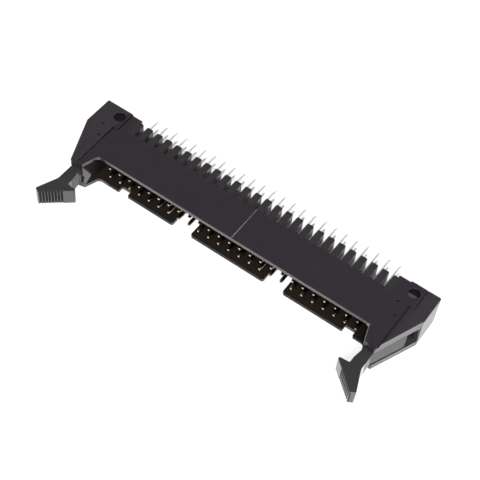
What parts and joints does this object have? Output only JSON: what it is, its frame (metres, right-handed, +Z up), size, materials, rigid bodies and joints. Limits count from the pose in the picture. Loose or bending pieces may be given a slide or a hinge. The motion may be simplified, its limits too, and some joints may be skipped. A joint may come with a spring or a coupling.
{
  "type": "box header",
  "caption": "Low-profile box header for flat ribbon cable: an open shroud around two rows of contact pins, with a swinging latch ejector at each end.",
  "frame": {"origin": "middle of the footprint, on the broad face that the header lies on", "axes": "+X along the header to the latch beside the off-centre notch nearer its end, +Y the way the solder tails point, +Z up out of the broad face without key slots"},
  "size_m": [0.0826, 0.0309, 0.0081],
  "materials": {
    "housing_plastic": "satin",
    "latch_plastic": "satin",
    "contact_metal": "plated"
  },
  "bodies": {
    "header": {"housing": "housing_plastic", "pin_01": "contact_metal", "pin_02": "contact_metal", "pin_03": "contact_metal", "pin_04": "contact_metal", "pin_05": "contact_metal", "pin_06": "contact_metal", "pin_07": "contact_metal", "pin_08": "contact_metal", "pin_09": "contact_metal", "pin_10": "contact_metal", "pin_11": "contact_metal", "pin_12": "contact_metal", "pin_13": "contact_metal", "pin_14": "contact_metal", "pin_15": "contact_metal", "pin_16": "contact_metal", "pin_17": "contact_metal", "pin_18": "contact_metal", "pin_19": "contact_metal", "pin_20": "contact_metal", "pin_21": "contact_metal", "pin_22": "contact_metal", "pin_23": "contact_metal", "pin_24": "contact_metal", "pin_25": "contact_metal", "pin_26": "contact_metal", "pin_27": "contact_metal", "pin_28": "contact_metal", "pin_29": "contact_metal", "pin_30": "contact_metal", "pin_31": "contact_metal", "pin_32": "contact_metal", "pin_33": "contact_metal", "pin_34": "contact_metal", "pin_35": "contact_metal", "pin_36": "contact_metal", "pin_37": "contact_metal", "pin_38": "contact_metal", "pin_39": "contact_metal", "pin_40": "contact_metal", "pin_41": "contact_metal", "pin_42": "contact_metal", "pin_43": "contact_metal", "pin_44": "contact_metal", "pin_45": "contact_metal", "pin_46": "contact_metal", "pin_47": "contact_metal", "pin_48": "contact_metal", "pin_49": "contact_metal", "pin_50": "contact_metal"},
    "left_latch": {"latch_left": "latch_plastic"},
    "right_latch": {"latch_right": "latch_plastic"}
  },
  "joints": [
    {"name": "left_latch_hinge", "type": "hinge", "parent": "header", "child": "left_latch", "pos_m": [-0.0364, 0.00952, 0.004], "axis": [0, 0, -1], "range_deg": [0, 25]},
    {"name": "right_latch_hinge", "type": "hinge", "parent": "header", "child": "right_latch", "pos_m": [0.0364, 0.00952, 0.004], "axis": [0, 0, 1], "range_deg": [0, 25]}
  ]
}
